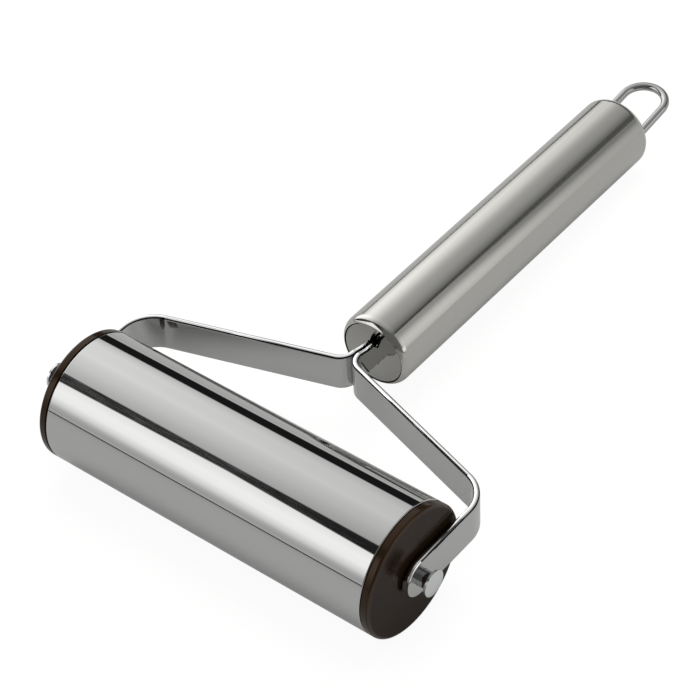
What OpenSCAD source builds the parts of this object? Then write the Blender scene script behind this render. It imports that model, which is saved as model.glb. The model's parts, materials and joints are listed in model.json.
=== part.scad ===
// Dough roller with a free-turning steel drum in a two-armed yoke
// X runs along the drum's axle, +Y towards the end of the handle, +Z is up
// The origin lies on the table, under the middle of the whole roller

/* [Drum] */
// Outer diameter of the steel drum
drum_d = 42; // [30:1:60]
// Length of the steel drum without its end caps
drum_len = 117; // [80:1:160]
// Wall of the drum's tube
drum_wall = 1; // [0.6:0.1:1.5]
// Rounding of the drum's outer edges
drum_edge_r = 0.4; // [0.2:0.1:0.5]

/* [End caps] */
// Length of the cap's flange that shows beyond the drum
cap_flange_len = 3; // [2.6:0.1:5]
// Rounding of the flange's outer edge
cap_edge_r = 1; // [0.5:0.1:1.5]
// Width of the shadow groove between drum and flange
cap_seam_len = 0.4; // [0.2:0.1:0.8]
// Depth of the shadow groove
cap_seam_depth = 0.6; // [0.3:0.1:0.8]
// Length of the cap's skirt inside the drum
cap_skirt_len = 12; // [8:1:20]
// Wall of the cap's skirt
cap_skirt_wall = 2; // [1.5:0.1:3]
// Outer diameter of the cap's hub
cap_hub_d = 12; // [9:0.5:16]
// How far the hub reaches past the skirt
cap_hub_extra = 3; // [1:0.5:6]
// Stiffening ribs between hub and skirt
cap_ribs = 6; // [3:1:10]
// Thickness of a rib
cap_rib_t = 1.6; // [1:0.1:2.5]
// How far a rib stops short of the skirt's end
cap_rib_setback = 2; // [1:0.5:5]

/* [Axle] */
// Diameter of the axle
axle_d = 5.4; // [4:0.1:7]
// Length of shank that shows between the right arm and its head, as the axle lies
head_gap_right = 3.3; // [0.4:0.1:6]
// Length of shank that shows between the left arm and its head, as the axle lies
head_gap_left = 5.1; // [0.4:0.1:8]
// Diameter of the axle's heads
head_d = 8.4; // [7.8:0.1:11]
// Thickness of a head at its rim
head_rim_len = 0.9; // [0.6:0.1:2]
// Height of the head's dome above the rim
head_dome = 0.8; // [0.4:0.1:1.5]
// Diameter of the turned-down end that the head is riveted on
spigot_d = 3.2; // [2:0.1:3.6]
// Length of the turned-down end
spigot_len = 1; // [0.6:0.1:1.2]

/* [Yoke] */
// Width of the arms' steel strip
strip_w = 13; // [10:0.5:16]
// Thickness of the strip
strip_t = 1.9; // [1.2:0.1:2.5]
// Rounding of the strip's edges
strip_edge_r = 0.5; // [0.2:0.1:0.55]
// Gap between the right cap and the right arm, as the drum lies
gap_right = 0.9; // [0.4:0.1:4]
// Gap between the left cap and the left arm, as the drum lies
gap_left = 4.7; // [0.4:0.1:6]
// Distance from the drum to the corner of each arm's shoulder
shoulder_gap = 10.9; // [8:0.1:20]
// Angle between the sloping part of an arm and the axle
arm_slope = 17.3; // [14:0.1:30]
// Distance from the corner where the arms meet to the handle
neck_len = 11.6; // [9.8:0.1:25]
// Bending radius at the shoulder, at the strip's middle
shoulder_r = 11.5; // [8:0.5:16]
// Bending radius where the arms meet, at the strip's middle
crotch_r = 5.2; // [3:0.1:6]
// Width of the tangs that go into the handle
tang_w = 7.8; // [6:0.1:9]
// How far the neck's upper edge lies below the strip's
neck_drop = 0.9; // [0.1:0.1:1]
// Length behind the crotch over which the neck gets narrower
neck_ease_len = 3.6; // [2:0.1:5]
// Length over which the neck's upper edge slopes down to the tang
neck_step_len = 1.6; // [0.6:0.1:2.4]
// Diameter of the rivets that join the tangs
rivet_d = 3; // [2:0.1:3.4]
// Diameter of the rivets' heads
rivet_head_d = 5; // [4.4:0.1:6]
// Thickness of the rivets' heads
rivet_head_len = 1.2; // [0.8:0.1:2]
// Distance between the two rivets
rivet_pitch = 8; // [7:0.5:12]
// Gap from a rivet's head to the plug and to the tangs' ends
rivet_gap = 0.6; // [0.4:0.1:4]

/* [Handle] */
// Diameter of the handle's tube
handle_d = 25; // [23:0.5:34]
// Length of the handle's tube
handle_len = 133.5; // [100:0.5:160]
// Wall of the handle's tube
handle_wall = 1; // [0.6:0.1:1.2]
// Rounding of the handle's rolled-in ends
handle_edge_r = 3.3; // [2.5:0.1:5]
// How far a rolled-in end narrows the tube's radius
handle_roll_in = 1.55; // [1.2:0.05:2.2]
// Length of the plugs' shoulder behind the rolled-in end
plug_seat_len = 5; // [3:0.5:10]
// Radial gap between a plug's face and the opening
plug_gap = 0.35; // [0.2:0.05:0.6]
// How deep a plug's face lies inside the opening
plug_recess = 0.2; // [0:0.1:0.8]
// Free height of the front plug's slot above the tangs
slot_play = 1; // [0.1:0.1:2]

/* [Hanging loop] */
// Diameter of the loop's wire
wire_d = 2.8; // [2:0.1:4]
// Distance from the rim of the plug's face to the side of the wire
loop_inset = 1.7; // [0.8:0.1:3]
// Length of the loop from the handle's end to its own far end
loop_reach = 24.1; // [15:0.1:45]
// Angle by which the loop and its legs rise from the handle's axis
loop_pitch = 7.3; // [0:0.1:15]
// How far the loop's legs reach past the rear plug
leg_past = 4; // [1:0.5:20]

/* [Fits] */
// Radial running clearance of the axle in arms and caps
run_clear = 0.06; // [0.03:0.01:0.09]
// Clearance of pieces that are pressed or welded together
seat_clear = 0.05; // [0.02:0.01:0.1]

/* [Hidden] */
$fn = 96;
// Facets round the strip's small roundings
small_facets = 32;
// How far a cutting tool runs past what it cuts
overrun = 1;

drum_r = drum_d / 2;
drum_inner_r = drum_r - drum_wall;
drum_half = drum_len / 2;
cap_out = drum_half + cap_flange_len;

inner_half = cap_out + (gap_left + gap_right) / 2;
arm_x = inner_half + strip_t / 2;
arm_out = inner_half + strip_t;
tang_x = strip_t / 2;

// The axle's middle is at x = 0, and yoke and drum lie off it as their gaps say
yoke_x = (head_gap_left - head_gap_right) / 2;
drum_x = yoke_x + (gap_left - gap_right) / 2;

axle_r = axle_d / 2;
axle_hole_r = axle_r + run_clear;
shank_half = arm_out + (head_gap_left + head_gap_right) / 2;

// Each arm turns by the same angle at its shoulder and at the crotch
turn = 90 - arm_slope;
crotch_tangent = crotch_r * tan(turn / 2);
shoulder_tangent = shoulder_r * tan(turn / 2);
shoulder_y = drum_r + shoulder_gap;
crotch_y = shoulder_y + (arm_x - tang_x) * tan(arm_slope);
arm_side_len = shoulder_y - shoulder_tangent;
arm_slope_len = (arm_x - tang_x) / cos(arm_slope) - crotch_tangent - shoulder_tangent;
handle_y = crotch_y + neck_len;
tang_start = neck_len - crotch_tangent;
neck_top = strip_w / 2 - neck_drop;

handle_r = handle_d / 2;
handle_inner_r = handle_r - handle_wall;
mouth_r = handle_r - handle_roll_in;
handle_end = handle_y + handle_len;
// The rolled-in end is an arc that runs from the tube's side down to its opening
edge_rest = handle_edge_r - handle_roll_in;
edge_len = sqrt(handle_edge_r * handle_edge_r - edge_rest * edge_rest);
plug_len = edge_len + plug_seat_len;
plug_face_r = mouth_r - plug_gap;
plug_seat_r = handle_inner_r - seat_clear;
slot_w = 2 * strip_t + 2 * seat_clear;
slot_low = tang_w / 2 + seat_clear;
slot_high = tang_w / 2 + slot_play;
rivet_margin = rivet_head_d / 2 + rivet_gap;
rivet_first = handle_y + plug_len + rivet_margin;
tang_len = plug_len + rivet_pitch + 2 * rivet_margin;

wire_r = wire_d / 2;
leg_x = plug_face_r - loop_inset - wire_r;
leg_len = plug_len + leg_past;
leg_hole_r = wire_r + seat_clear;
loop_arc_y = loop_reach - wire_r - leg_x;

// The roller lies on its drum and on the lower edge at the end of its handle
rest_a = handle_end - edge_len;
rest_b = handle_r - handle_edge_r;
tilt = asin((drum_r - handle_edge_r) / sqrt(rest_a * rest_a + rest_b * rest_b)) - atan2(rest_b, rest_a);
loop_far = handle_end * cos(tilt) + (loop_reach - wire_r) * cos(loop_pitch - tilt) + wire_r;
axle_back = (drum_r - loop_far) / 2;

// Outline of the strip's cross-section: thickness along x, width along y
module strip_section() {
    inner_t = strip_t - 2 * strip_edge_r;
    inner_w = strip_w - 2 * strip_edge_r;
    square([strip_t, inner_w], center = true);
    square([inner_t, strip_w], center = true);
    for (sx = [-1, 1], sy = [-1, 1])
        translate([sx * inner_t / 2, sy * inner_w / 2])
            circle(r = strip_edge_r, $fn = small_facets);
}

// Straight strip from the origin along +X, with what follows at its far end
module strip_run(length) {
    rotate([90, 0, 90])
        linear_extrude(height = length)
            strip_section();
    translate([length, 0, 0])
        children();
}

// Strip bent to the left from the origin, with what follows at its far end
module strip_bend(radius) {
    translate([0, radius, 0]) {
        rotate([0, 0, -90])
            rotate_extrude(angle = turn)
                translate([radius, 0])
                    strip_section();
        rotate([0, 0, turn])
            translate([0, -radius, 0])
                children();
    }
}

// Rounded free end of the strip, centred on the axle, which runs along Y here
module strip_end() {
    rotate([90, 0, 0])
        rotate_extrude()
            intersection() {
                rotate([0, 0, 90])
                    strip_section();
                translate([0, -strip_t])
                    square([strip_w, 2 * strip_t]);
            }
}

// Neck from the crotch along +X, which narrows to the tang that enters the handle
module tang() {
    tang_far = tang_start + tang_len;
    rotate([90, 0, 0])
        linear_extrude(height = strip_t, center = true)
            polygon([
                [0, -strip_w / 2],
                [neck_ease_len, -tang_w / 2],
                [tang_far, -tang_w / 2],
                [tang_far, tang_w / 2],
                [tang_start, tang_w / 2],
                [tang_start - neck_step_len, neck_top],
                [neck_ease_len, neck_top],
                [0, strip_w / 2]
            ]);
}

// Rivet holes or shanks through the tangs, along X
module rivet_rows(radius, half_len) {
    for (i = [0, 1])
        translate([-half_len, rivet_first + i * rivet_pitch, 0])
            rotate([0, 90, 0])
                cylinder(r = radius, h = 2 * half_len);
}

// Right arm with the axle on the X axis and the handle along +Y
module arm() {
    difference() {
        translate([arm_x, 0, 0])
            rotate([0, 0, 90]) {
                strip_end();
                strip_run(arm_side_len)
                    strip_bend(shoulder_r)
                        strip_run(arm_slope_len)
                            mirror([0, 1, 0])
                                strip_bend(crotch_r)
                                    tang();
            }
        translate([arm_x - strip_t, 0, 0])
            rotate([0, 90, 0])
                cylinder(r = axle_hole_r, h = 2 * strip_t);
        rivet_rows(rivet_d / 2 + seat_clear, 2 * strip_t);
    }
}

// Profile of the handle's tube: radius on x, distance from its front on y
module tube_profile() {
    core_r = handle_r - handle_edge_r;
    difference() {
        intersection() {
            union() {
                square([core_r, handle_len]);
                translate([0, edge_len])
                    square([handle_r, handle_len - 2 * edge_len]);
                for (y = [edge_len, handle_len - edge_len])
                    translate([core_r, y])
                        circle(r = handle_edge_r);
            }
            square([handle_r, handle_len]);
        }
        translate([-overrun, -overrun])
            square([mouth_r + overrun, handle_len + 2 * overrun]);
        translate([-overrun, edge_len])
            square([handle_inner_r + overrun, handle_len - 2 * edge_len]);
    }
}

// Plug for a tube end, its face towards -Y and the tube's end at y = 0
module plug() {
    rotate([-90, 0, 0]) {
        translate([0, 0, plug_recess])
            cylinder(r = plug_face_r, h = plug_len - plug_recess);
        translate([0, 0, edge_len + seat_clear])
            cylinder(r = plug_seat_r, h = plug_seat_len - seat_clear);
    }
}

// Places what is modelled on the axle's frame: onto the table, with no tilt
module on_axle() {
    translate([0, axle_back, drum_r])
        children();
}

// Places the yoke and handle, which tilt about the axle
module on_yoke() {
    on_axle()
        translate([yoke_x, 0, 0])
            rotate([-tilt, 0, 0])
                children();
}

// Places what turns with the drum, which is modelled about the Z axis
module on_drum() {
    on_axle()
        translate([drum_x, 0, 0])
            rotate([0, 90, 0])
                children();
}

// Places the loop, which rises from the middle of the handle's end
module at_loop() {
    translate([0, handle_end, 0])
        rotate([loop_pitch, 0, 0])
            children();
}

module roller_shell() {
    inner_len = drum_len - 2 * drum_edge_r;
    color("#c9cac8")
        on_drum()
            rotate_extrude()
                difference() {
                    union() {
                        translate([0, -inner_len / 2])
                            square([drum_r, inner_len]);
                        translate([0, -drum_half])
                            square([drum_r - drum_edge_r, drum_len]);
                        for (s = [-1, 1])
                            translate([drum_r - drum_edge_r, s * inner_len / 2])
                                circle(r = drum_edge_r);
                    }
                    translate([-drum_r, -drum_len])
                        square([drum_r + drum_inner_r, 2 * drum_len]);
                }
}

// End cap about the Z axis, its outer face towards +Z and the drum's end at z = 0
module end_cap() {
    skirt_r = drum_inner_r - seat_clear;
    hub_end = -cap_skirt_len - cap_hub_extra;
    rib_in = (axle_hole_r + cap_hub_d / 2) / 2;
    rib_out = skirt_r - cap_skirt_wall / 2;
    difference() {
        union() {
            cylinder(r = drum_r - cap_seam_depth, h = cap_seam_len);
            translate([0, 0, cap_seam_len])
                cylinder(r = drum_r, h = cap_flange_len - cap_seam_len - cap_edge_r);
            translate([0, 0, cap_flange_len - cap_edge_r])
                rotate_extrude() {
                    square([drum_r - cap_edge_r, cap_edge_r]);
                    intersection() {
                        translate([drum_r - cap_edge_r, 0])
                            circle(r = cap_edge_r);
                        square([drum_r, cap_edge_r]);
                    }
                }
            translate([0, 0, -cap_skirt_len])
                difference() {
                    cylinder(r = skirt_r, h = cap_skirt_len);
                    translate([0, 0, -overrun])
                        cylinder(r = skirt_r - cap_skirt_wall, h = cap_skirt_len + overrun);
                }
            translate([0, 0, hub_end])
                cylinder(d = cap_hub_d, h = -hub_end);
            for (i = [0 : cap_ribs - 1])
                rotate([0, 0, i * 360 / cap_ribs])
                    translate([rib_in, -cap_rib_t / 2, cap_rib_setback - cap_skirt_len])
                        cube([rib_out - rib_in, cap_rib_t, cap_skirt_len - cap_rib_setback]);
        }
        translate([0, 0, hub_end - overrun])
            cylinder(r = axle_hole_r, h = cap_flange_len - hub_end + 2 * overrun);
    }
}

module end_cap_right() {
    color("#3a2c24")
        on_drum()
            translate([0, 0, drum_half])
                end_cap();
}

module end_cap_left() {
    color("#3a2c24")
        on_drum()
            mirror([0, 0, 1])
                translate([0, 0, drum_half])
                    end_cap();
}

module axle_rod() {
    color("#8d8f90")
        on_axle()
            rotate([0, 90, 0]) {
                translate([0, 0, -shank_half])
                    cylinder(r = axle_r, h = 2 * shank_half);
                translate([0, 0, -shank_half - spigot_len])
                    cylinder(d = spigot_d, h = 2 * shank_half + 2 * spigot_len);
            }
}

// Domed head about the Z axis, its inner face at z = 0
module axle_head() {
    dome_r = (head_d * head_d / 4 + head_dome * head_dome) / (2 * head_dome);
    difference() {
        union() {
            cylinder(d = head_d, h = head_rim_len);
            intersection() {
                translate([0, 0, head_rim_len + head_dome - dome_r])
                    sphere(r = dome_r);
                cylinder(d = head_d, h = head_rim_len + head_dome);
            }
        }
        translate([0, 0, -overrun])
            cylinder(r = spigot_d / 2 + seat_clear, h = spigot_len + seat_clear + overrun);
    }
}

module axle_head_right() {
    color("#d4d5d6")
        on_axle()
            translate([shank_half, 0, 0])
                rotate([0, 90, 0])
                    axle_head();
}

module axle_head_left() {
    color("#d4d5d6")
        on_axle()
            mirror([1, 0, 0])
                translate([shank_half, 0, 0])
                    rotate([0, 90, 0])
                        axle_head();
}

module arm_right() {
    color("#9a9a98")
        on_yoke()
            arm();
}

module arm_left() {
    color("#9a9a98")
        on_yoke()
            mirror([1, 0, 0])
                arm();
}

module tang_rivets() {
    color("#a5a6a6")
        on_yoke() {
            rivet_rows(rivet_d / 2, strip_t);
            for (s = [-1, 1], i = [0, 1])
                translate([s * (strip_t + rivet_head_len / 2), rivet_first + i * rivet_pitch, 0])
                    rotate([0, 90, 0])
                        cylinder(d = rivet_head_d, h = rivet_head_len, center = true);
        }
}

module handle_tube() {
    color("#a3a3a0")
        on_yoke()
            translate([0, handle_y, 0])
                rotate([-90, 0, 0])
                    rotate_extrude()
                        tube_profile();
}

module handle_front_plug() {
    color("#8f8f8b")
        on_yoke()
            difference() {
                translate([0, handle_y, 0])
                    plug();
                translate([-slot_w / 2, handle_y - overrun, -slot_low])
                    cube([slot_w, plug_len + 2 * overrun, slot_low + slot_high]);
            }
}

module handle_rear_plug() {
    color("#8f8f8b")
        on_yoke()
            difference() {
                translate([0, handle_end, 0])
                    mirror([0, 1, 0])
                        plug();
                at_loop()
                    for (s = [-1, 1])
                        translate([s * leg_x, overrun, 0])
                            rotate([90, 0, 0])
                                cylinder(r = leg_hole_r, h = leg_len + overrun);
            }
}

module hanging_loop() {
    color("#c4c5c6")
        on_yoke()
            at_loop()
                translate([0, loop_arc_y, 0]) {
                    rotate_extrude(angle = 180)
                        translate([leg_x, 0])
                            circle(r = wire_r);
                    for (s = [-1, 1])
                        translate([s * leg_x, 0, 0])
                            rotate([90, 0, 0])
                                cylinder(r = wire_r, h = loop_arc_y + leg_len);
                }
}

roller_shell();
end_cap_left();
end_cap_right();
axle_rod();
axle_head_left();
axle_head_right();
arm_left();
arm_right();
tang_rivets();
handle_tube();
handle_front_plug();
handle_rear_plug();
hanging_loop();
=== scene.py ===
import json
import math

import bmesh
import bpy
from mathutils import Matrix, Vector

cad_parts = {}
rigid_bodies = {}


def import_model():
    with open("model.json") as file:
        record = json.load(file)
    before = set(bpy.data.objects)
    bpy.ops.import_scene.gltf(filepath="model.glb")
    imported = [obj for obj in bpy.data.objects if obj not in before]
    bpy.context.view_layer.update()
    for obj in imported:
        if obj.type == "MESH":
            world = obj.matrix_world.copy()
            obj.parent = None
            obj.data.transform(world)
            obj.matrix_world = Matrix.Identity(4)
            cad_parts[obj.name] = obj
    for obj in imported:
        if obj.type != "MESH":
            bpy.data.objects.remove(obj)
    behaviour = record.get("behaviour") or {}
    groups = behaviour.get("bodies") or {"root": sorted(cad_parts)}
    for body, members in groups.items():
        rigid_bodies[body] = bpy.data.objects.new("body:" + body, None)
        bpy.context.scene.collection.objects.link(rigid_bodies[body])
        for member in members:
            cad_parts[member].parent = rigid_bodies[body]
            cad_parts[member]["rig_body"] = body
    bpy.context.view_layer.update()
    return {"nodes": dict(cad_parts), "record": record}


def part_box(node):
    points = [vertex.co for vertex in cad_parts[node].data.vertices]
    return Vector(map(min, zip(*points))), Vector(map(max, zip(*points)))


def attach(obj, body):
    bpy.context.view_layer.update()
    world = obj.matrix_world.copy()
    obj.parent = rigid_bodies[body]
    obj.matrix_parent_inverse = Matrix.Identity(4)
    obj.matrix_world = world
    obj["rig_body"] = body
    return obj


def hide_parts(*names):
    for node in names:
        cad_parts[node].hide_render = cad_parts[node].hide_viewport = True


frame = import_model()
print("frame loaded")

mm = 0.001
hair = 0.01 * mm               # closer than this counts as the same place


def mountNamed(name):
    return next(m for m in frame["record"]["mounts"] if m["name"] == name)


def inMetres(size):
    # for the lengths in a piece's dictionary: its counts and angles are read as they stand
    return {name: value * mm for name, value in size.items()}


def addObject(name, data):
    thing = bpy.data.objects.new(name, data)
    bpy.context.scene.collection.objects.link(thing)
    return thing


# Places that everything else is worked out from
drumLow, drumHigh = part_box("roller_shell")
axleCentre = Vector((0, (drumLow.y + drumHigh.y) / 2, (drumLow.z + drumHigh.z) / 2))
drumCentre = (drumLow + drumHigh) / 2
drumRadius = (drumHigh.z - drumLow.z) / 2
drumLength = drumHigh.x - drumLow.x
gripMount = mountNamed("handle_grip")
handleAxis = Vector(gripMount["axis"]).normalized()
handleMiddle = Vector(gripMount["pos_m"])
handleTilt = math.asin(-handleAxis.z)
yokeCentre = Vector((handleMiddle.x, axleCentre.y, axleCentre.z))
yokePlace = Matrix.Translation(yokeCentre) @ Matrix.Rotation(-handleTilt, 4, "X")


# Camera, placed as the photographer stood

cameraSetup = {
    "azimuth": 41.866,         # degrees round from the front
    "elevation": 45.109,
    "roll": -5.564,
    "distance": 777.48,        # mm, from the target
    "target": (-16.682, 71.868, -17.924),      # mm, from the yoke's middle on the axle
    "lens": 127.888,
    "sensor": 36.0,
    "near": 0.01,              # metres
    "far": 50.0,
}


def addCamera(setup):
    azimuth, elevation, roll = (math.radians(setup[k]) for k in ("azimuth", "elevation", "roll"))
    back = Vector((math.sin(azimuth) * math.cos(elevation),
                   -math.cos(azimuth) * math.cos(elevation),
                   math.sin(elevation)))
    right = Vector((0, 0, 1)).cross(back).normalized()
    up = back.cross(right)
    turn = Matrix((right, up, back)).transposed() @ Matrix.Rotation(roll, 3, "Z")
    lens = bpy.data.cameras.new("photoCamera")
    lens.lens = setup["lens"]
    lens.sensor_width = setup["sensor"]
    lens.clip_start = setup["near"]
    lens.clip_end = setup["far"]
    camera = addObject("photoCamera", lens)
    position = yokeCentre + (Vector(setup["target"]) + back * setup["distance"]) * mm
    camera.matrix_world = Matrix.Translation(position) @ turn.to_4x4()
    bpy.context.scene.camera = camera


addCamera(cameraSetup)
print("camera placed")


# Helpers for materials

def hexColour(text):
    channels = [int(text[i:i + 2], 16) / 255 for i in (1, 3, 5)]
    linear = [c / 12.92 if c <= 0.04045 else ((c + 0.055) / 1.055) ** 2.4 for c in channels]
    return (*linear, 1.0)


def addNode(tree, kind, inputs=(), stops=None, **settings):
    # inputs are a dictionary by name or number, or a tuple in the node's own order
    node = tree.nodes.new("ShaderNode" + kind)
    for name, value in settings.items():
        setattr(node, name, value)
    if stops:
        elements = node.color_ramp.elements
        while len(elements) < len(stops):
            elements.new(0.5)
        for element, (place, level) in zip(elements, stops):
            element.position = place
            element.color = (level, level, level, 1)
    if isinstance(inputs, tuple):
        inputs = dict(enumerate(inputs))
    for name, value in inputs.items():
        if isinstance(value, bpy.types.NodeSocket):
            tree.links.new(value, node.inputs[name])
        else:
            node.inputs[name].default_value = value
    return node


def newMaterial(name):
    material = bpy.data.materials.new(name)
    material.use_nodes = True
    material.node_tree.nodes.clear()
    return material, material.node_tree


def mirroredRays(tree, path):
    # 1 for what metal and glossy plastic mirror, 0 for the rest
    return addNode(tree, "Math", (path.outputs["Is Glossy Ray"], path.outputs["Is Transmission Ray"]),
                   operation="MAXIMUM").outputs[0]


# Studio: a dark room, drawn in the world by direction, with an overhead softbox, one in front, one on
# the right with a strip light below it, and a pale wall behind.
# Angles are in degrees. About the drum's axis they go from the horizon behind, over the top, to the one
# in front, and about the handle's axis from the horizon on the right, over the top, to the one on the
# left. A pair of x or y is where a change begins and ends: x points right and y points back, up to 1.
# Each light's function gives its level and the shares of it that each direction gets.

def softBand(tree, value, low, high, lowBlur, highBlur=None):
    # 1 between low and high, 0 outside
    highBlur = highBlur or lowBlur
    rise = addNode(tree, "MapRange", (value, low - lowBlur, low + lowBlur), interpolation_type="SMOOTHSTEP")
    fall = addNode(tree, "MapRange", (value, high - highBlur, high + highBlur, 1.0, 0.0),
                   interpolation_type="SMOOTHSTEP")
    return addNode(tree, "Math", (rise.outputs[0], fall.outputs[0]), operation="MULTIPLY").outputs[0]


overheadBox = {
    "level": 1.9,
    "rear": 24.5,              # rear edge, about the drum's axis
    "rearLeft": 4.0,           # which drops to this on the left
    "dropX": (-0.77, -0.6),
    "front": 112.5,
    "right": 56.0,             # right edge, about the handle's axis
    "left": 176.0,
    # level from the rear edge to the front one, and from right to left
    "lengthwise": ((0.0, 0.42), (0.2, 0.76), (0.48, 1.0), (0.74, 0.87), (1.0, 0.6)),
    "sideways": ((0.0, 0.06), (0.05, 0.16), (0.2, 0.28), (0.4, 0.36), (0.5, 0.47), (0.6, 0.66),
                 (0.7, 0.9), (0.82, 1.0)),
}


def lightOverhead(tree, view, box, blur):
    rear = addNode(tree, "MapRange", (view["x"], *box["dropX"], box["rearLeft"], box["rear"])).outputs[0]
    across = addNode(tree, "MapRange", (view["drumAngle"], rear, box["front"]), clamp=False).outputs[0]
    aside = addNode(tree, "MapRange", (view["handleAngle"], box["right"], box["left"])).outputs[0]
    rightEdge = addNode(tree, "MapRange", (view["handleAngle"], box["right"] - blur, box["right"] + blur),
                        interpolation_type="SMOOTHSTEP").outputs[0]
    return (box["level"],
            addNode(tree, "ValToRGB", (across,), stops=box["lengthwise"]).outputs[0],
            addNode(tree, "ValToRGB", (aside,), stops=box["sideways"]).outputs[0],
            softBand(tree, across, 0.0, 1.0, blur / (box["front"] - box["rear"])),
            rightEdge)


frontBox = {
    "level": 1.5,
    "top": 124.0,              # top edge, about the drum's axis
    "peakX": -0.49,            # where that is highest
    "slant": 70.0,             # degrees that it drops for each 1 of x beside the peak
    "bottom": 179.5,
    "bottomBlur": 0.6,
    "rightX": (-0.15, -0.03),
    # level from the top edge down
    "downwards": ((0.0, 0.86), (0.3, 1.0), (0.5, 0.97), (0.68, 0.72), (0.8, 0.45), (0.9, 0.36),
                  (1.0, 0.42)),
}


def lightInFront(tree, view, box, blur):
    angle = view["drumAngle"]
    beside = addNode(tree, "Math", (view["x"], box["peakX"]), operation="SUBTRACT").outputs[0]
    beside = addNode(tree, "Math", (beside,), operation="ABSOLUTE").outputs[0]
    drop = addNode(tree, "Math", (beside, box["slant"]), operation="MULTIPLY").outputs[0]
    slanted = addNode(tree, "Math", (angle, drop), operation="SUBTRACT").outputs[0]
    bottom, bottomBlur = box["bottom"], box["bottomBlur"]
    edges = [addNode(tree, "MapRange", inputs, interpolation_type="SMOOTHSTEP").outputs[0]
             for inputs in ((slanted, box["top"] - blur, box["top"] + blur),
                            (angle, bottom - bottomBlur, bottom + bottomBlur, 1.0, 0.0),
                            (view["x"], *box["rightX"], 1.0, 0.0))]
    down = addNode(tree, "MapRange", (angle, box["top"], bottom)).outputs[0]
    return (box["level"], *edges, addNode(tree, "ValToRGB", (down,), stops=box["downwards"]).outputs[0])


rightBox = {
    "level": 0.95,
    "bottom": 0.0,             # about the handle's axis
    "top": 52.0,
    "frontY": (-0.3, 0.1),     # it comes up from nothing in front
    "rearY": (0.61, 0.665),
    "rearLean": 9.0,           # degrees that it leans lower behind
    "rearShare": 0.6,          # and its share of the level there
    "upwards": ((0.0, 0.78), (0.2, 0.93), (0.4, 1.0), (0.6, 0.85), (0.8, 0.52), (0.92, 0.46),
                (1.0, 0.75)),
}


def lightOnRight(tree, view, box, blur):
    lean = addNode(tree, "MapRange", (view["y"], *box["rearY"], 0.0, box["rearLean"])).outputs[0]
    angle = addNode(tree, "Math", (view["handleAngle"], lean), operation="ADD").outputs[0]
    up = addNode(tree, "MapRange", (angle, box["bottom"], box["top"])).outputs[0]
    return (box["level"],
            softBand(tree, angle, box["bottom"], box["top"], blur),
            addNode(tree, "ValToRGB", (up,), stops=box["upwards"]).outputs[0],
            addNode(tree, "MapRange", (view["y"], *box["frontY"])).outputs[0],
            addNode(tree, "MapRange", (view["y"], *box["rearY"], 1.0, box["rearShare"])).outputs[0])


# low beside the floor on the right, for the edges of the drum and caps
stripLight = {
    "level": 1.3,
    "bottom": 2.0,             # about the handle's axis
    "top": 13.0,
    "front": -0.25,            # its ends, as y, and their blur
    "frontBlur": 0.1,
    "rear": 0.42,
    "rearBlur": 0.03,
}


def lightStrip(tree, view, strip, blur):
    return (strip["level"],
            softBand(tree, view["handleAngle"], strip["bottom"], strip["top"], blur),
            softBand(tree, view["y"], strip["front"], strip["rear"], strip["frontBlur"], strip["rearBlur"]))


darkRoom = {
    "level": 0.014,
    "fill": 0.16,              # less dark on the right in front, where no box hangs
    "fillX": (-0.25, 0.1),
    "fillY": (0.25, 0.5),
    "back": 0.11,              # and on the right at the back
    "backX": (-0.1, 0.1),
    "backY": (0.58, 0.66),
    # the ceiling in front of the overhead box is rough, which speckles the drum's dark band
    "speckle": 0.28,
    "speckleScale": 180.0,
    "speckleDetail": 1.0,
    "speckleNoise": (0.5, 0.72),
    "speckleRear": 105.0,      # about the drum's axis
    "speckleFront": 135.0,
    "speckleBlur": 1.0,
    "speckleX": (-0.5, -0.42),
}


def lightRoom(tree, view, room):
    noise = addNode(tree, "TexNoise", {"Vector": view["direction"], "Scale": room["speckleScale"],
                                       "Detail": room["speckleDetail"]}).outputs[0]
    speckle = addNode(tree, "MapRange", (noise, *room["speckleNoise"], 0.0, room["speckle"])).outputs[0]
    ceiling = softBand(tree, view["drumAngle"], room["speckleRear"], room["speckleFront"],
                       room["speckleBlur"])
    left = addNode(tree, "MapRange", (view["x"], *room["speckleX"], 1.0, 0.0)).outputs[0]
    for share in (ceiling, left):
        speckle = addNode(tree, "Math", (speckle, share), operation="MULTIPLY").outputs[0]
    filled = addNode(tree, "MapRange", (view["x"], *room["fillX"], room["level"], room["fill"])).outputs[0]
    inFront = addNode(tree, "MapRange", (view["y"], *room["fillY"], 1.0, 0.0)).outputs[0]
    level = addNode(tree, "Mix", {0: inFront, 2: room["level"], 3: filled}, data_type="FLOAT").outputs[0]
    return (addNode(tree, "Math", (speckle, level), operation="ADD").outputs[0],)


def lightRoomBack(tree, view, room):
    return (room["back"],
            addNode(tree, "MapRange", (view["y"], *room["backY"])).outputs[0],
            addNode(tree, "MapRange", (view["x"], *room["backX"])).outputs[0])


wallBehind = {
    "level": 0.62,
    "bottom": -20.0,           # about the drum's axis, hidden by the floor
    "top": 5.4,
    "blur": 0.5,
    "leftX": (-0.66, -0.6),
}


def lightWall(tree, view, wall):
    return (wall["level"],
            softBand(tree, view["drumAngle"], wall["bottom"], wall["top"], wall["blur"]),
            addNode(tree, "MapRange", (view["x"], *wall["leftX"])).outputs[0])


studio = {
    "blur": 1.2,               # of the softboxes' edges, each way
    "diffuse": 0.42,           # what rough surfaces get of it all
    "backdrop": 1.0,           # what the camera sees
}


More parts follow.
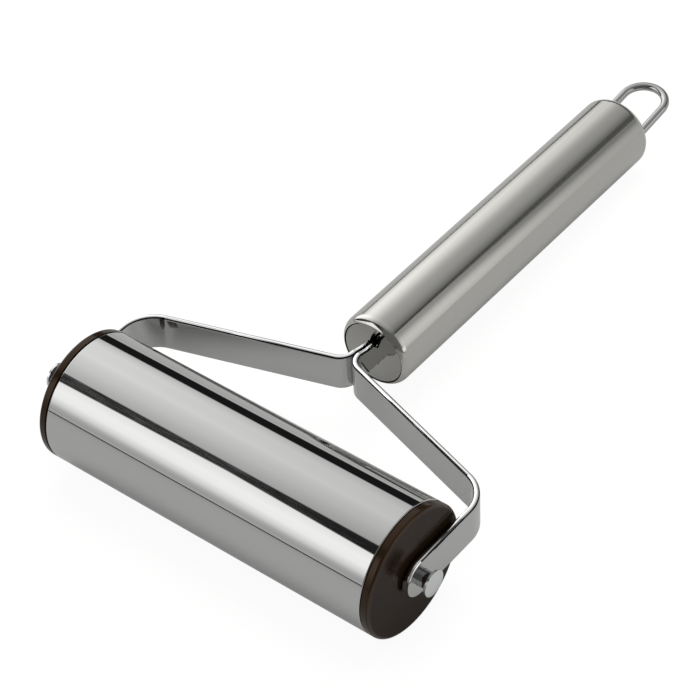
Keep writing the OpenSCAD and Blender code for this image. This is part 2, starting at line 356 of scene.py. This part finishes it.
def buildWorld(setup):
    world = bpy.data.worlds.new("studio")
    bpy.context.scene.world = world
    world.use_nodes = True
    world.cycles.sampling_method = "NONE"
    tree = world.node_tree
    tree.nodes.clear()
    direction = addNode(tree, "TexCoord").outputs["Generated"]
    x, y, z = addNode(tree, "SeparateXYZ", (direction,)).outputs
    view = {"direction": direction, "x": x, "y": y}
    for name, side in (("drumAngle", y), ("handleAngle", x)):
        angle = addNode(tree, "Math", (z, side), operation="ARCTAN2").outputs[0]
        view[name] = addNode(tree, "Math", (angle,), operation="DEGREES").outputs[0]
    blur = setup["blur"]
    brightest = 0.0
    for level, *shares in (lightOverhead(tree, view, overheadBox, blur),
                           lightInFront(tree, view, frontBox, blur),
                           lightOnRight(tree, view, rightBox, blur),
                           lightStrip(tree, view, stripLight, blur),
                           lightRoom(tree, view, darkRoom),
                           lightRoomBack(tree, view, darkRoom),
                           lightWall(tree, view, wallBehind)):
        for share in shares:
            level = addNode(tree, "Math", (level, share), operation="MULTIPLY").outputs[0]
        brightest = addNode(tree, "Math", (brightest, level), operation="MAXIMUM").outputs[0]
    path = addNode(tree, "LightPath")
    strength = addNode(tree, "Mix", {0: mirroredRays(tree, path), 2: setup["diffuse"], 3: brightest},
                       data_type="FLOAT").outputs[0]
    strength = addNode(tree, "Mix", {0: path.outputs["Is Camera Ray"], 2: strength, 3: setup["backdrop"]},
                       data_type="FLOAT").outputs[0]
    background = addNode(tree, "Background", {"Color": (1, 1, 1, 1), "Strength": strength})
    addNode(tree, "OutputWorld", {"Surface": background.outputs[0]})


buildWorld(studio)


floorSetup = {
    "reach": 1.6,              # metres each way
    "toMetal": "#d2d2d2",      # pale grey, as metal and shadow see it
    "toCamera": "#6c6c6a",     # darker, so that the shadow stays faint under the lift
    "cameraLift": 0.92,        # glow that makes it as white as the backdrop
    "mirrorLift": 0.13,        # glow that metal mirrors
}


def buildFloor(setup):
    bm = bmesh.new()
    bmesh.ops.create_grid(bm, x_segments=1, y_segments=1, size=setup["reach"])
    mesh = bpy.data.meshes.new("floor")
    bm.to_mesh(mesh)
    bm.free()
    floor = addObject("floor", mesh)
    material, tree = newMaterial("paleStudioFloor")
    path = addNode(tree, "LightPath")
    camera = path.outputs["Is Camera Ray"]
    colour = addNode(tree, "Mix", {0: camera, 6: hexColour(setup["toMetal"]),
                                   7: hexColour(setup["toCamera"])}, data_type="RGBA")
    diffuse = addNode(tree, "BsdfDiffuse", {"Color": colour.outputs[2]})
    lift = addNode(tree, "Math", (mirroredRays(tree, path), setup["mirrorLift"]),
                   operation="MULTIPLY").outputs[0]
    lift = addNode(tree, "Mix", {0: camera, 2: lift, 3: setup["cameraLift"]}, data_type="FLOAT").outputs[0]
    glow = addNode(tree, "Emission", {"Color": (1, 1, 1, 1), "Strength": lift})
    both = addNode(tree, "AddShader", (diffuse.outputs[0], glow.outputs[0]))
    addNode(tree, "OutputMaterial", {"Surface": both.outputs[0]})
    mesh.materials.append(material)


buildFloor(floorSetup)


# The lamp lights rough surfaces and throws the soft shadow: metal mirrors the drawn boxes instead

keyLamp = {
    "place": (-0.15, 0.35, 1.3),               # metres, and it points at the origin
    "size": 1.0,
    "power": 6.4,              # watts
}


def addKeyLamp(setup):
    lamp = bpy.data.lights.new("overheadLamp", "AREA")
    lamp.shape = "SQUARE"
    lamp.size = setup["size"]
    lamp.energy = setup["power"]
    holder = addObject("overheadLamp", lamp)
    place = Vector(setup["place"])
    holder.matrix_world = Matrix.Translation(place) @ place.to_track_quat("Z", "Y").to_matrix().to_4x4()
    holder.visible_glossy = False
    holder.visible_camera = False


addKeyLamp(keyLamp)
bpy.context.scene.view_settings.view_transform = "Standard"
print("studio lit")


# Steel. Marks are the sizes in mm of the polishing marks along X, along the handle and upwards. Real ones
# are hundredths of a millimetre wide, and these are as coarse as they need to show.

steelLooks = {
    # mirror polish along the drum: the studio's bands stay crisp
    "drum": {"name": "mirrorPolishedStainless", "colour": "#c6c6c5", "roughness": 0.035, "spread": 0.005,
             "marks": (2500.0, 16.667, 16.667), "bump": 0.004},
    # belt-polished round the tube: the bands get soft edges
    "handle": {"name": "satinStainlessTube", "colour": "#c6c5c0", "roughness": 0.12, "spread": 0.03,
               "marks": (16.667, 0.33333, 16.667), "bump": 0.05},
    # rolled strip: even grey planes
    "strip": {"name": "satinStainlessStrip", "colour": "#c5c5c3", "roughness": 0.06, "spread": 0.01,
              "marks": (16.667, 16.667, 1.6667), "bump": 0.01},
    # its rounded edges: near-white steel paints a highlight on their core, between two painted dark
    # reflection lines
    "edge": {"name": "stripEdgePaintedHighlight", "colour": "#fbfbfb", "roughness": 0.06, "spread": 0.02,
             "marks": (16.667, 16.667, 16.667), "bump": 0.01},
    # near-black steel that paints the dark reflection lines along the rounded edges
    "corner": {"name": "stripEdgePaintedDarkLine", "colour": "#262626", "roughness": 0.12, "spread": 0.02,
               "marks": (16.667, 16.667, 16.667), "bump": 0.01},
    # polished disc: mirrors the arms softly
    "plug": {"name": "polishedStainlessDisc", "colour": "#aeada8", "roughness": 0.08, "spread": 0.01,
             "marks": (3.3333, 3.3333, 3.3333), "bump": 0.05},
    # turned rod: bright lines along it with fine rings
    "axle": {"name": "turnedStainlessRod", "colour": "#b4b2b4", "roughness": 0.06, "spread": 0.02,
             "marks": (0.5, 3.3333, 3.3333), "bump": 0.05},
    # hammered dome: pale and even
    "head": {"name": "satinStainlessHead", "colour": "#e2e4e3", "roughness": 0.24, "spread": 0.03,
             "marks": (3.3333, 3.3333, 3.3333), "bump": 0.05},
    # drawn wire: bright, with a dark line on each side
    "wire": {"name": "brightSteelWire", "colour": "#b6b6b5", "roughness": 0.06, "spread": 0.02,
             "marks": (3.3333, 3.3333, 3.3333), "bump": 0.05},
}

polishMarks = {
    "detail": 4.0,
    "roughness": 0.6,
    "noise": (0.3, 0.7),       # part of the noise that is used
    "depth": 0.02,             # mm
}


def buildSteel(look, marks):
    # stainless steel: grey-white metal, and its polish sets how sharp the reflections are
    material, tree = newMaterial(look["name"])
    place = addNode(tree, "TexCoord").outputs["Object"]
    turned = addNode(tree, "Mapping", {"Vector": place, "Rotation": (handleTilt, 0, 0),
                                       "Scale": [1 / (length * mm) for length in look["marks"]]})
    noise = addNode(tree, "TexNoise", {"Vector": turned.outputs[0], "Scale": 1.0, "Detail": marks["detail"],
                                       "Roughness": marks["roughness"]}).outputs[0]
    roughness = addNode(tree, "MapRange", (noise, *marks["noise"], look["roughness"] - look["spread"],
                                           look["roughness"] + look["spread"])).outputs[0]
    bump = addNode(tree, "Bump", {"Height": noise, "Strength": look["bump"],
                                  "Distance": marks["depth"] * mm})
    steel = addNode(tree, "BsdfPrincipled", {"Base Color": hexColour(look["colour"]), "Metallic": 1.0,
                                             "Roughness": roughness, "Normal": bump.outputs[0]})
    addNode(tree, "OutputMaterial", {"Surface": steel.outputs[0]})
    return material


steels = {part: buildSteel(look, polishMarks) for part, look in steelLooks.items()}


# Brown plastic of the end caps, in three copies with their own specular level: the face's low level paints
# its reflection darker, and a high level on a ring of the rounded edge paints a highlight line

capLook = {
    "colour": "#2c2015",
    "tint": "#f2d2b8",
    "ior": 1.5,
    "roughness": 0.16,
    "peel": 1.1111,            # mm, coarser than the real one so that it shows
    "peelDetail": 2.0,
    "peelDepth": 0.05,
    "peelBump": 0.03,
    "rimLevel": 0.34,
    # lower on the face, which paints its reflection darker
    "paintedDarkerFaceLevel": 0.08,
    # higher on a ring of the rounded edge, which paints a highlight line
    "paintedHighlightRingLevel": 0.65,
}


def buildCapPlastic(look, name, level):
    # moulded ABS: dark brown, glossy, with the faint orange peel of a polished mould
    material, tree = newMaterial(name)
    place = addNode(tree, "TexCoord").outputs["Object"]
    peel = addNode(tree, "TexNoise", {"Vector": place, "Scale": 1 / (look["peel"] * mm),
                                      "Detail": look["peelDetail"]})
    bump = addNode(tree, "Bump", {"Height": peel.outputs[0], "Strength": look["peelBump"],
                                  "Distance": look["peelDepth"] * mm})
    plastic = addNode(tree, "BsdfPrincipled", {"Base Color": hexColour(look["colour"]), "IOR": look["ior"],
                                               "Specular Tint": hexColour(look["tint"]),
                                               "Specular IOR Level": level,
                                               "Roughness": look["roughness"], "Normal": bump.outputs[0]})
    addNode(tree, "OutputMaterial", {"Surface": plastic.outputs[0]})
    return material


capPlastic = buildCapPlastic(capLook, "brownGlossyAbs", capLook["rimLevel"])
capFacePaintedDarker = buildCapPlastic(capLook, "brownAbsFacePaintedDarker", capLook["paintedDarkerFaceLevel"])
capRingPaintedHighlight = buildCapPlastic(capLook, "brownAbsPaintedHighlightRing", capLook["paintedHighlightRingLevel"])
print("materials ready")


# Helpers for meshes

shading = {
    "sharp": 38,               # degrees between two faces from which their edge stays sharp
    "fold": 60,                # and from which it is one to round
    "weight": 80,
}


def arc(centre, radius, start, end, steps):
    angles = [math.radians(start + (end - start) * i / steps) for i in range(steps + 1)]
    return [(centre[0] + radius * math.cos(a), centre[1] + radius * math.sin(a)) for a in angles]


def mirroredTo(side):
    # 1 leaves a piece on the right, -1 mirrors it to the left
    return Matrix.Scale(side, 4, (1, 0, 0))


def addRing(bm, places):
    corners = [bm.verts.new(place) for place in places]
    for first, second in zip(corners, corners[1:] + corners[:1]):
        bm.edges.new((first, second))


def lathe(outline, steps):
    # the outline holds (place along the axis, radius) pairs, and the axis is X
    bm = bmesh.new()
    addRing(bm, [(along, 0, radius) for along, radius in outline])
    bmesh.ops.spin(bm, geom=bm.verts[:] + bm.edges[:], cent=(0, 0, 0), axis=(1, 0, 0), dvec=(0, 0, 0),
                   angle=math.tau, steps=steps, use_merge=True)
    bmesh.ops.remove_doubles(bm, verts=bm.verts[:], dist=hair / 10)
    return bm


def pullOut(bm, geom, way):
    made = bmesh.ops.extrude_face_region(bm, geom=geom)["geom"]
    verts = [g for g in made if isinstance(g, bmesh.types.BMVert)]
    bmesh.ops.translate(bm, verts=verts, vec=way)
    return verts, next(g for g in made if isinstance(g, bmesh.types.BMFace))


def bendOut(bm, face, centre, angle, steps):
    made = bmesh.ops.spin(bm, geom=[face] + face.edges[:] + face.verts[:], cent=centre, axis=(0, 0, 1),
                          dvec=(0, 0, 0), angle=angle, steps=steps)
    return next(g for g in made["geom_last"] if isinstance(g, bmesh.types.BMFace))


def thicken(bm, way):
    # gives a filled outline its thickness, and gives back the moved side's vertices
    return pullOut(bm, bm.faces[:] + bm.edges[:] + bm.verts[:], way)[0]


def isFold(edge):
    return edge.calc_face_angle(0) > math.radians(shading["fold"])


def roundEdges(bm, edges, radius, steps):
    bmesh.ops.bevel(bm, geom=edges, offset=radius, offset_type="OFFSET", segments=steps, profile=0.5,
                    affect="EDGES", clamp_overlap=True, material=-1)


def finishPiece(name, bm, place, node, materials, flat=()):
    bmesh.ops.transform(bm, matrix=place, verts=bm.verts[:])
    bmesh.ops.recalc_face_normals(bm, faces=bm.faces[:])
    for face in bm.faces:
        face.smooth = face not in flat
    for edge in bm.edges:
        edge.smooth = edge.calc_face_angle(0) < math.radians(shading["sharp"])
    mesh = bpy.data.meshes.new(name)
    bm.to_mesh(mesh)
    bm.free()
    piece = addObject(name, mesh)
    for material in materials:
        mesh.materials.append(material)
    weighted = piece.modifiers.new("faceWeightedNormals", "WEIGHTED_NORMAL")
    weighted.keep_sharp = True
    weighted.weight = shading["weight"]
    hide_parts(node)
    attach(piece, frame["nodes"][node]["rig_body"])


# Drum

drumSize = {"wall": 1.0, "edge": 0.4, "edgeSteps": 6, "steps": 256}


def buildDrum(size):
    s = inMetres(size)
    half = drumLength / 2
    edge = s["edge"]
    inner = drumRadius - s["wall"]
    outline = (arc((half - edge, drumRadius - edge), edge, 0, 90, size["edgeSteps"])
               + arc((edge - half, drumRadius - edge), edge, 90, 180, size["edgeSteps"])
               + [(-half, inner), (half, inner)])
    bm = lathe(outline, size["steps"])
    finishPiece("drumShell", bm, Matrix.Translation(drumCentre), "roller_shell",
                [steels["drum"]])


buildDrum(drumSize)


# End caps

axleRadius = 2.7 * mm
boreRadius = axleRadius + 0.06 * mm            # of the holes that it turns in

capSize = {
    "flange": 3.0,             # what shows beyond the drum
    "edge": 1.0,
    "seam": 0.4,               # shadow groove beside the drum
    "seamDepth": 0.6,
    "skirt": 12.0,             # length inside the drum
    "skirtGap": 0.05,
    "skirtWall": 2.0,
    "hub": 6.0,                # radius
    "hubPast": 3.0,            # how far it reaches past the skirt
    "highlightRingStart": 20,           # painted highlight ring on the rounded edge, in degrees from the axis
    "highlightRingEnd": 60,
    "edgeSteps": 8,
    "steps": 192,
}


def buildCap(name, node, size, side):
    s = inMetres(size)
    radius = drumRadius
    skirt = radius - drumSize["wall"] * mm - s["skirtGap"]
    coreX, coreRadius = s["flange"] - s["edge"], radius - s["edge"]
    hubEnd = -s["skirt"] - s["hubPast"]
    outline = ([(hubEnd, boreRadius), (s["flange"], boreRadius), (s["flange"], coreRadius)]
               + arc((coreX, coreRadius), s["edge"], 0, 90, size["edgeSteps"])[1:]
               + [(s["seam"], radius), (s["seam"], radius - s["seamDepth"]), (0, radius - s["seamDepth"]),
                  (0, skirt), (-s["skirt"], skirt), (-s["skirt"], skirt - s["skirtWall"]),
                  (0, skirt - s["skirtWall"]), (0, s["hub"]), (hubEnd, s["hub"])])
    bm = lathe(outline, size["steps"])
    for face in bm.faces:
        middle = face.calc_center_median()
        ringAngle = math.degrees(math.atan2(math.hypot(middle.y, middle.z) - coreRadius, middle.x - coreX))
        # the face gets the darker copy, and a ring of the rounded edge gets the painted highlight copy
        if min(v.co.x for v in face.verts) > s["flange"] - hair:
            face.material_index = 1
        elif size["highlightRingStart"] < ringAngle < size["highlightRingEnd"]:
            face.material_index = 2
    place = Matrix.Translation(drumCentre + Vector((side * drumLength / 2, 0, 0))) @ mirroredTo(side)
    finishPiece(name, bm, place, node, [capPlastic, capFacePaintedDarker, capRingPaintedHighlight])


buildCap("endCapRight", "end_cap_right", capSize, 1)
buildCap("endCapLeft", "end_cap_left", capSize, -1)
print("drum and caps made")


# Axle and its heads

axleSize = {"spigotRadius": 1.6, "spigot": 1.0, "chamfer": 0.15, "steps": 96}
headSize = {"radius": 4.2, "rim": 0.9, "rimEdge": 0.25, "dome": 0.8, "domeSteps": 16, "steps": 96}


def buildAxle(size):
    low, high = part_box("axle_rod")
    end = (high.x - low.x) / 2
    s = inMetres(size)
    shank = end - s["spigot"]
    right = [(shank - s["chamfer"], axleRadius), (shank, axleRadius - s["chamfer"]),
             (shank, s["spigotRadius"]), (end, s["spigotRadius"]), (end, 0)]
    outline = [(-along, radius) for along, radius in reversed(right)] + right
    bm = lathe(outline, size["steps"])
    finishPiece("axleRod", bm, Matrix.Translation(axleCentre), "axle_rod",
                [steels["axle"]])


def buildHead(name, node, size, side):
    low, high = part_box(node)
    base = low.x if side > 0 else -high.x
    s = inMetres(size)
    radius = s["radius"]
    domeRadius = (radius ** 2 + s["dome"] ** 2) / (2 * s["dome"])
    domeAngle = math.degrees(math.asin(radius / domeRadius))
    dome = arc((s["rim"] + s["dome"] - domeRadius, 0), domeRadius, domeAngle, 0, size["domeSteps"])
    outline = [(0, 0), (0, radius - s["rimEdge"]), (s["rimEdge"], radius), (s["rim"], radius)] + dome[1:]
    bm = lathe(outline, size["steps"])
    place = Matrix.Translation(axleCentre + Vector((side * base, 0, 0))) @ mirroredTo(side)
    finishPiece(name, bm, place, node, [steels["head"]])


buildAxle(axleSize)
buildHead("axleHeadRight", "axle_head_right", headSize, 1)
buildHead("axleHeadLeft", "axle_head_left", headSize, -1)
print("axle made")


# Yoke arms

armSize = {
    "width": 13.0,
    "thick": 1.9,
    "edge": 0.8,
    "innerHalf": 64.3,         # from the middle to the strip's inner side
    "plate": 12.0,             # flat part that is drawn first, from the axle back
    "shoulderY": 31.9,         # corner of the shoulder, from the axle
    "shoulderRadius": 11.5,
    "slope": 17.3,             # degrees
    "crotchRadius": 5.2,
    "neck": 11.6,              # from the crotch to the handle
    "neckDrop": 0.9,
    "neckEase": 3.6,
    "neckStep": 1.6,
    "tangWidth": 7.8,
    "tangLength": 21.998,
    "holeMargin": 0.5,         # round the hole, where no edge is rounded
    "endSteps": 32,
    "holeSteps": 48,
    "bendSteps": 64,
    "edgeSteps": 5,
}

# How far a face's normal points a way, for which steel it gets: the plain strip, the painted highlight or
# the painted dark line
armFinish = {
    "edge": 0.3,               # upwards or down, from here it is the rounded edge, which gets the painted dark line
    "core": 0.8,               # and from here that edge's core, which gets the painted highlight
    "side": 0.9,               # sideways, below this it is the plate's round end, which gets the painted highlight too
    "plane": 0.99995,          # straight out of a flat side, from here it is shaded flat
}


def buildArm(name, node, size, side):
    s = inMetres(size)
    turn = math.radians(90 - size["slope"])
    slope = math.radians(size["slope"])
    half = s["width"] / 2
    tangHalf = s["tangWidth"] / 2
    armX = s["innerHalf"] + s["thick"] / 2
    shoulderTangent = s["shoulderRadius"] * math.tan(turn / 2)
    crotchTangent = s["crotchRadius"] * math.tan(turn / 2)
    slopeLength = (armX - s["thick"] / 2) / math.cos(slope) - shoulderTangent - crotchTangent
    bendY = s["shoulderY"] - shoulderTangent
    forward = Vector((0, 1, 0))
    along = Vector((-math.cos(slope), math.sin(slope), 0))
    across = Vector((along.y, -along.x, 0))

    # flat plate round the axle, with its hole and round end, drawn in the plane across X
    bm = bmesh.new()
    border = arc((0, 0), half, 90, 270, size["endSteps"]) + [(s["plate"], -half), (s["plate"], half)]
    addRing(bm, [(s["innerHalf"], y, z) for y, z in border])
    hole = Matrix.Translation((s["innerHalf"], 0, 0)) @ Matrix.Rotation(math.radians(90), 4, "Y")
    bmesh.ops.create_circle(bm, segments=size["holeSteps"], radius=boreRadius, matrix=hole)
    bmesh.ops.triangle_fill(bm, edges=bm.edges[:], use_beauty=True, normal=(1, 0, 0))
    thicken(bm, (s["thick"], 0, 0))
    bmesh.ops.recalc_face_normals(bm, faces=bm.faces[:])

    # side, shoulder, slope and crotch
    face = max(bm.faces, key=lambda part: part.calc_center_median().y)
    face = pullOut(bm, [face], forward * (bendY - s["plate"]))[1]
    face = bendOut(bm, face, (armX - s["shoulderRadius"], bendY, 0), turn, size["bendSteps"])
    face = pullOut(bm, [face], along * slopeLength)[1]
    centre = face.calc_center_median() + across * s["crotchRadius"]
    face = bendOut(bm, face, centre, -turn, size["bendSteps"])

    # neck and tang: the lower edge rises at once, the upper one in two steps
    straight = s["neck"] - crotchTangent - s["neckEase"] - s["neckStep"]
    for length, top in ((s["neckEase"], half - s["neckDrop"]), (straight, half - s["neckDrop"]),
                        (s["neckStep"], tangHalf), (s["tangLength"], tangHalf)):
        verts, face = pullOut(bm, [face], forward * length)
        for vert in verts:
            vert.co.z = top if vert.co.z > 0 else -tangHalf

    bmesh.ops.recalc_face_normals(bm, faces=bm.faces[:])
    longEdges = [e for e in bm.edges
                 if isFold(e)
                 and max(abs(v.co.z) for v in e.verts) > boreRadius + s["holeMargin"]
                 and not all(v in face.verts for v in e.verts)]
    roundEdges(bm, longEdges, s["edge"], size["edgeSteps"])

    flat = set()
    for part in bm.faces:
        upwards, sideways = abs(part.normal.z), abs(part.normal.x)
        # the plate's round end and the edges' cores get the painted highlight, the rest of the rounded
        # edges the painted dark line
        if part.calc_center_median().y < 0 and sideways < armFinish["side"]:
            part.material_index = 1
        elif armFinish["edge"] < upwards < armFinish["core"]:
            part.material_index = 2
        elif upwards > armFinish["edge"]:
            part.material_index = 1
        if max(sideways, abs(part.normal.dot(across))) > armFinish["plane"]:
            flat.add(part)
    finishPiece(name, bm, yokePlace @ mirroredTo(side), node,
                [steels["strip"], steels["edge"], steels["corner"]], flat)


buildArm("armRight", "arm_right", armSize, 1)
buildArm("armLeft", "arm_left", armSize, -1)
print("arms made")


# Handle

handleSize = {
    "wall": 1.0,
    "edge": 3.3,               # radius of the rolled-in ends
    "rollIn": 1.55,            # how far they roll in
    "edgeSteps": 16,
    "steps": 192,
}
handleRadius = gripMount["dims"]["r_mm"] * mm
handleEdge = handleSize["edge"] * mm
edgeRest = (handleSize["edge"] - handleSize["rollIn"]) * mm      # of the radius, at the mouth
edgeLength = math.sqrt(handleEdge ** 2 - edgeRest ** 2)          # along the handle
handleLength = gripMount["dims"]["length_mm"] * mm + 2 * edgeLength
handlePlace = Matrix.Translation(handleMiddle) @ Matrix.Rotation(-handleTilt, 4, "X")
alongY = Matrix.Rotation(math.radians(90), 4, "Z")


def buildTube(size):
    s = inMetres(size)
    straight = handleLength / 2 - edgeLength
    inner = handleRadius - s["wall"]
    core = handleRadius - handleEdge
    mouth = handleRadius - s["rollIn"]
    endAngle = math.degrees(math.asin(edgeRest / handleEdge))
    front = arc((-straight, core), handleEdge, 180 - endAngle, 90, size["edgeSteps"])
    rear = arc((straight, core), handleEdge, 90, endAngle, size["edgeSteps"])
    outline = front + rear + [(straight, mouth), (straight, inner), (-straight, inner), (-straight, mouth)]
    bm = lathe(outline, size["steps"])
    finishPiece("handleTube", bm, handlePlace @ alongY, "handle_tube",
                [steels["handle"]])


buildTube(handleSize)


# Hanging loop

loopSize = {
    "wire": 2.8,
    "leg": 7.5,                # from the middle to each leg
    "reach": 24.1,
    "inside": 11.798,          # legs' length inside the handle
    "sections": 40,
    "bendSteps": 48,
}
loopRise = math.asin(-mountNamed("hanging_loop_eye")["axis"][1])
loopPitch = loopRise + handleTilt
loopPlace = (Matrix.Translation(handleMiddle + handleAxis * handleLength / 2)
             @ Matrix.Rotation(loopRise, 4, "X"))


def buildLoop(size):
    s = inMetres(size)
    radius = s["wire"] / 2
    arcCentre = s["reach"] - s["leg"] - radius
    leg = Vector((0, arcCentre + s["inside"], 0))
    bm = bmesh.new()
    place = Matrix.Translation((s["leg"], -s["inside"], 0)) @ Matrix.Rotation(math.radians(-90), 4, "X")
    bmesh.ops.create_circle(bm, segments=size["sections"], radius=radius, cap_ends=True, matrix=place)
    face = pullOut(bm, bm.faces[:], leg)[1]
    face = bendOut(bm, face, (0, arcCentre, 0), math.pi, size["bendSteps"])
    pullOut(bm, [face], -leg)
    finishPiece("hangingLoop", bm, loopPlace, "hanging_loop", [steels["wire"]])


# Plugs in the handle's ends

plugSize = {
    "gap": 0.35,               # beside the rolled-in edge
    "recess": 0.2,
    "seat": 5.0,               # how far it reaches behind the rolled-in edge
    "edge": 0.12,
    "slotHalf": 1.91,          # slot for the two tangs: half its width, its reach down and up
    "slotLow": 3.95,
    "slotHigh": 4.45,
    "legGap": 0.05,
    "legSteps": 32,
    "edgeSteps": 3,
    "steps": 128,
}
plugRadius = handleRadius - (handleSize["rollIn"] + plugSize["gap"]) * mm


def buildPlug(name, node, size, side):
    s = inMetres(size)
    depth = edgeLength + s["seat"] - s["recess"]
    legX = loopSize["leg"] * mm
    legHole = loopSize["wire"] / 2 * mm + s["legGap"]
    bm = bmesh.new()
    bmesh.ops.create_circle(bm, segments=size["steps"], radius=plugRadius)
    if side < 0:
        addRing(bm, [(-s["slotHalf"], -s["slotLow"], 0), (s["slotHalf"], -s["slotLow"], 0),
                     (s["slotHalf"], s["slotHigh"], 0), (-s["slotHalf"], s["slotHigh"], 0)])
    else:
        for x in (-legX, legX):
            bmesh.ops.create_circle(bm, segments=size["legSteps"], radius=legHole,
                                    matrix=Matrix.Translation((x, 0, 0)))
    bmesh.ops.triangle_fill(bm, edges=bm.edges[:], use_beauty=True, normal=(0, 0, 1))
    moved = thicken(bm, (0, 0, -depth))
    if side > 0:
        # the loop's legs slant through the rear plug
        slanted = [v for v in moved
                   if abs(math.hypot(abs(v.co.x) - legX, v.co.y) - legHole) < hair]
        bmesh.ops.translate(bm, verts=slanted, vec=(0, depth * math.tan(loopPitch), 0))
    bmesh.ops.recalc_face_normals(bm, faces=bm.faces[:])
    rim = [e for e in bm.edges
           if isFold(e)
           and all(math.hypot(v.co.x, v.co.y) > plugRadius - hair and v.co.z > -hair for v in e.verts)]
    roundEdges(bm, rim, s["edge"], size["edgeSteps"])
    turn = Matrix.Rotation(math.radians(-90 * side), 4, "X")
    shift = Matrix.Translation((0, side * (handleLength / 2 - s["recess"]), 0))
    finishPiece(name, bm, handlePlace @ shift @ turn, node, [steels["plug"]])


buildPlug("handleFrontPlug", "handle_front_plug", plugSize, -1)
buildPlug("handleRearPlug", "handle_rear_plug", plugSize, 1)
buildLoop(loopSize)
rivetFinish = frame["nodes"]["tang_rivets"].data.materials
rivetFinish.clear()
rivetFinish.append(steels["strip"])
print("handle made")
